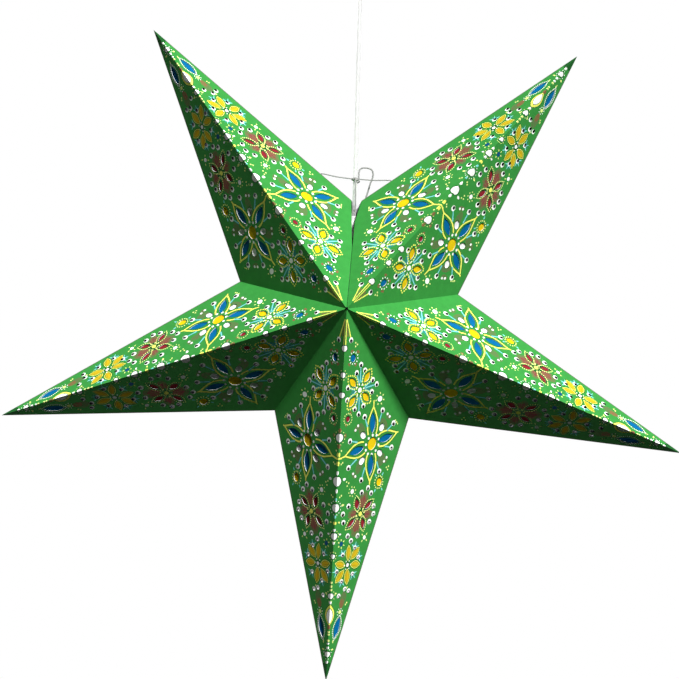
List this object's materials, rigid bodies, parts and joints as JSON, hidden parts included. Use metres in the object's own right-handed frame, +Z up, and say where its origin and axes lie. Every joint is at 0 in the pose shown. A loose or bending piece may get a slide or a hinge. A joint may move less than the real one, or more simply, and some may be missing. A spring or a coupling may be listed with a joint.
{
  "type": "paper star lantern",
  "caption": "Folded five-pointed paper star lantern with die-cut flower windows, hung by its cable from a ceiling fitting.",
  "frame": {"origin": "middle of the ceiling plate's upper face, where the fitting meets the ceiling", "axes": "+Z up out of the ceiling face, the star's front faces -Y and its width runs along X"},
  "size_m": [0.597, 0.1838, 0.6975],
  "materials": {
    "printed_card": "green card printed with flowers, matt",
    "tissue_paper": "thin coloured tissue",
    "white_plastic": "satin",
    "holder_plastic": "semi-gloss",
    "block_plastic": "matt",
    "cable_sheath": "soft white sheath",
    "brass": "pressed",
    "tinned_metal": "dull",
    "bulb_glass": "clear",
    "cotton_string": "twisted cotton"
  },
  "bodies": {
    "ceiling_fitting": {"ceiling_plate": "white_plastic", "ceiling_cup": "white_plastic", "ceiling_cord_grip": "white_plastic", "terminal_block": "block_plastic"},
    "lamp_drop": {"power_cable": "cable_sheath", "tie_knot": "cotton_string", "tie_tail_straight": "cotton_string", "tie_tail_arched": "cotton_string", "lampholder_centre_contact": "brass", "lampholder_cord_grip": "holder_plastic", "lampholder_core": "block_plastic", "lampholder_screw_sleeve": "brass", "lampholder_shell": "holder_plastic"},
    "bulb": {"bulb_cap": "brass", "bulb_filament": "tinned_metal", "bulb_glass": "bulb_glass", "bulb_tip_contact": "tinned_metal"},
    "bottom_back_ccw": {"bottom_arm_back_ccw_panel": "printed_card", "bottom_arm_back_ccw_tissue": "tissue_paper"},
    "bottom_back_cw": {"bottom_arm_back_cw_panel": "printed_card", "bottom_arm_back_cw_tissue": "tissue_paper"},
    "left_back_ccw": {"left_arm_back_ccw_panel": "printed_card", "left_arm_back_ccw_tissue": "tissue_paper"},
    "left_back_cw": {"left_arm_back_cw_panel": "printed_card", "left_arm_back_cw_tissue": "tissue_paper"},
    "top_left_back_ccw": {"top_left_arm_back_ccw_panel": "printed_card", "top_left_arm_back_ccw_tissue": "tissue_paper"},
    "top_left_back_cw": {"top_left_arm_back_cw_panel": "printed_card", "top_left_arm_back_cw_tissue": "tissue_paper", "tie_string_left": "cotton_string"},
    "right_back_cw": {"right_arm_back_cw_panel": "printed_card", "right_arm_back_cw_tissue": "tissue_paper"},
    "right_back_ccw": {"right_arm_back_ccw_panel": "printed_card", "right_arm_back_ccw_tissue": "tissue_paper"},
    "top_right_back_cw": {"top_right_arm_back_cw_panel": "printed_card", "top_right_arm_back_cw_tissue": "tissue_paper"},
    "top_right_back_ccw": {"top_right_arm_back_ccw_panel": "printed_card", "top_right_arm_back_ccw_tissue": "tissue_paper", "tie_string_right": "cotton_string"},
    "bottom_front_cw": {"bottom_arm_front_cw_panel": "printed_card", "bottom_arm_front_cw_tissue": "tissue_paper"},
    "bottom_front_ccw": {"bottom_arm_front_ccw_panel": "printed_card", "bottom_arm_front_ccw_tissue": "tissue_paper"},
    "right_front_cw": {"right_arm_front_cw_panel": "printed_card", "right_arm_front_cw_tissue": "tissue_paper"},
    "right_front_ccw": {"right_arm_front_ccw_panel": "printed_card", "right_arm_front_ccw_tissue": "tissue_paper"},
    "top_right_front_cw": {"top_right_arm_front_cw_panel": "printed_card", "top_right_arm_front_cw_tissue": "tissue_paper"},
    "top_right_front_ccw": {"top_right_arm_front_ccw_panel": "printed_card", "top_right_arm_front_ccw_tissue": "tissue_paper"},
    "top_left_front_cw": {"top_left_arm_front_cw_panel": "printed_card", "top_left_arm_front_cw_tissue": "tissue_paper"},
    "top_left_front_ccw": {"top_left_arm_front_ccw_panel": "printed_card", "top_left_arm_front_ccw_tissue": "tissue_paper"},
    "left_front_cw": {"left_arm_front_cw_panel": "printed_card", "left_arm_front_cw_tissue": "tissue_paper"},
    "left_front_ccw": {"left_arm_front_ccw_panel": "printed_card", "left_arm_front_ccw_tissue": "tissue_paper"}
  },
  "joints": [
    {"name": "star_turn", "type": "hinge", "parent": "ceiling_fitting", "child": "lamp_drop", "pos_m": [0, 0, -0.0518], "axis": [0, 0, 1], "range_deg": [-180, 180], "stiffness_Nm_per_rad": 0.01},
    {"name": "bulb_unscrew", "type": "slide", "parent": "lamp_drop", "child": "bulb", "axis": [0, 0, -1], "range_m": [0, 0.026]},
    {"name": "star_fold", "type": "hinge", "parent": "lamp_drop", "child": "bottom_back_ccw", "pos_m": [0.006, 0.0925, -0.383], "axis": [0, -0.2813, -0.9596], "range_deg": [0, 38.75]},
    {"name": "bottom_back_ridge_cw", "type": "hinge", "parent": "lamp_drop", "child": "bottom_back_cw", "pos_m": [0.006, 0.0925, -0.383], "axis": [0, 0.2813, 0.9596], "range_deg": [0, 38.75]},
    {"name": "bottom_to_left_valley", "type": "hinge", "parent": "bottom_back_cw", "child": "left_back_ccw", "pos_m": [0.00582, 0.09284, -0.38325], "axis": [-0.4309, -0.6743, -0.5997], "range_deg": [0, 114.86]},
    {"name": "left_back_ridge", "type": "hinge", "parent": "left_back_ccw", "child": "left_back_cw", "pos_m": [0.006, 0.0925, -0.383], "axis": [0.9095, 0.2813, 0.3061], "range_deg": [0, 77.56]},
    {"name": "left_to_top_left_valley", "type": "hinge", "parent": "left_back_cw", "child": "top_left_back_ccw", "pos_m": [0.0057, 0.09284, -0.38291], "axis": [-0.7049, -0.6743, 0.2202], "range_deg": [0, 115.41]},
    {"name": "top_left_back_ridge", "type": "hinge", "parent": "top_left_back_ccw", "child": "top_left_back_cw", "pos_m": [0.006, 0.0925, -0.383], "axis": [0.5735, 0.2813, -0.7694], "range_deg": [0, 80.19]},
    {"name": "bottom_to_right_valley", "type": "hinge", "parent": "bottom_back_ccw", "child": "right_back_cw", "pos_m": [0.00618, 0.09284, -0.38325], "axis": [-0.4325, 0.6743, 0.5986], "range_deg": [0, 115.19]},
    {"name": "right_back_ridge", "type": "hinge", "parent": "right_back_cw", "child": "right_back_ccw", "pos_m": [0.006, 0.0925, -0.383], "axis": [0.9111, -0.2813, -0.3013], "range_deg": [0, 77.36]},
    {"name": "right_to_top_right_valley", "type": "hinge", "parent": "right_back_ccw", "child": "top_right_back_cw", "pos_m": [0.0063, 0.09284, -0.38291], "axis": [-0.7056, 0.6743, -0.2178], "range_deg": [0, 114.31]},
    {"name": "top_right_back_ridge", "type": "hinge", "parent": "top_right_back_cw", "child": "top_right_back_ccw", "pos_m": [0.006, 0.0925, -0.383], "axis": [0.5828, -0.2813, 0.7623], "range_deg": [0, 79.12]},
    {"name": "bottom_edge_cw", "type": "hinge", "parent": "bottom_back_cw", "child": "bottom_front_cw", "pos_m": [0.006, 0, -0.6985], "axis": [0.2457, 0, -0.9694], "range_deg": [0, 76.71]},
    {"name": "bottom_edge_ccw", "type": "hinge", "parent": "bottom_back_ccw", "child": "bottom_front_ccw", "pos_m": [0.006, 0, -0.6985], "axis": [0.2464, 0, 0.9692], "range_deg": [0, 76.87]},
    {"name": "right_edge_cw", "type": "hinge", "parent": "right_back_cw", "child": "right_front_cw", "pos_m": [0.30554, 0, -0.48206], "axis": [0.9975, 0, -0.0704], "range_deg": [0, 76.87]},
    {"name": "right_edge_ccw", "type": "hinge", "parent": "right_back_ccw", "child": "right_front_ccw", "pos_m": [0.30554, 0, -0.48206], "axis": [-0.8438, 0, 0.5366], "range_deg": [0, 76.45]},
    {"name": "top_right_edge_cw", "type": "hinge", "parent": "top_right_back_cw", "child": "top_right_front_cw", "pos_m": [0.19763, 0, -0.13236], "axis": [0.3947, 0, 0.9188], "range_deg": [0, 76.45]},
    {"name": "top_right_edge_ccw", "type": "hinge", "parent": "top_right_back_ccw", "child": "top_right_front_ccw", "pos_m": [0.19763, 0, -0.13236], "axis": [-0.7936, 0, -0.6084], "range_deg": [0, 80.13]},
    {"name": "top_left_edge_cw", "type": "hinge", "parent": "top_left_back_cw", "child": "top_left_front_cw", "pos_m": [-0.18255, 0, -0.13004], "axis": [-0.7905, 0, 0.6125], "range_deg": [0, 81.59]},
    {"name": "top_left_edge_ccw", "type": "hinge", "parent": "top_left_back_ccw", "child": "top_left_front_ccw", "pos_m": [-0.18255, 0, -0.13004], "axis": [0.3812, 0, -0.9245], "range_deg": [0, 76.97]},
    {"name": "left_edge_cw", "type": "hinge", "parent": "left_back_cw", "child": "left_front_cw", "pos_m": [-0.29302, 0, -0.48363], "axis": [-0.8397, 0, -0.543], "range_deg": [0, 76.97]},
    {"name": "left_edge_ccw", "type": "hinge", "parent": "left_back_ccw", "child": "left_front_ccw", "pos_m": [-0.29302, 0, -0.48363], "axis": [0.9971, 0, 0.0763], "range_deg": [0, 76.71]}
  ],
  "couplings": [
    {"joint": "bottom_back_ridge_cw", "follows": "star_fold", "ratio": 1},
    {"joint": "bottom_to_left_valley", "follows": "star_fold", "ratio": 2.9641},
    {"joint": "left_back_ridge", "follows": "star_fold", "ratio": 2.0014},
    {"joint": "left_to_top_left_valley", "follows": "star_fold", "ratio": 2.9783},
    {"joint": "top_left_back_ridge", "follows": "star_fold", "ratio": 2.0694},
    {"joint": "bottom_to_right_valley", "follows": "star_fold", "ratio": 2.9727},
    {"joint": "right_back_ridge", "follows": "star_fold", "ratio": 1.9963},
    {"joint": "right_to_top_right_valley", "follows": "star_fold", "ratio": 2.9498},
    {"joint": "top_right_back_ridge", "follows": "star_fold", "ratio": 2.0417},
    {"joint": "bottom_edge_cw", "follows": "star_fold", "ratio": 1.9796},
    {"joint": "bottom_edge_ccw", "follows": "star_fold", "ratio": 1.9837},
    {"joint": "right_edge_cw", "follows": "star_fold", "ratio": 1.9837},
    {"joint": "right_edge_ccw", "follows": "star_fold", "ratio": 1.9728},
    {"joint": "top_right_edge_cw", "follows": "star_fold", "ratio": 1.9728},
    {"joint": "top_right_edge_ccw", "follows": "star_fold", "ratio": 2.0679},
    {"joint": "top_left_edge_cw", "follows": "star_fold", "ratio": 2.1056},
    {"joint": "top_left_edge_ccw", "follows": "star_fold", "ratio": 1.9864},
    {"joint": "left_edge_cw", "follows": "star_fold", "ratio": 1.9864},
    {"joint": "left_edge_ccw", "follows": "star_fold", "ratio": 1.9796}
  ]
}
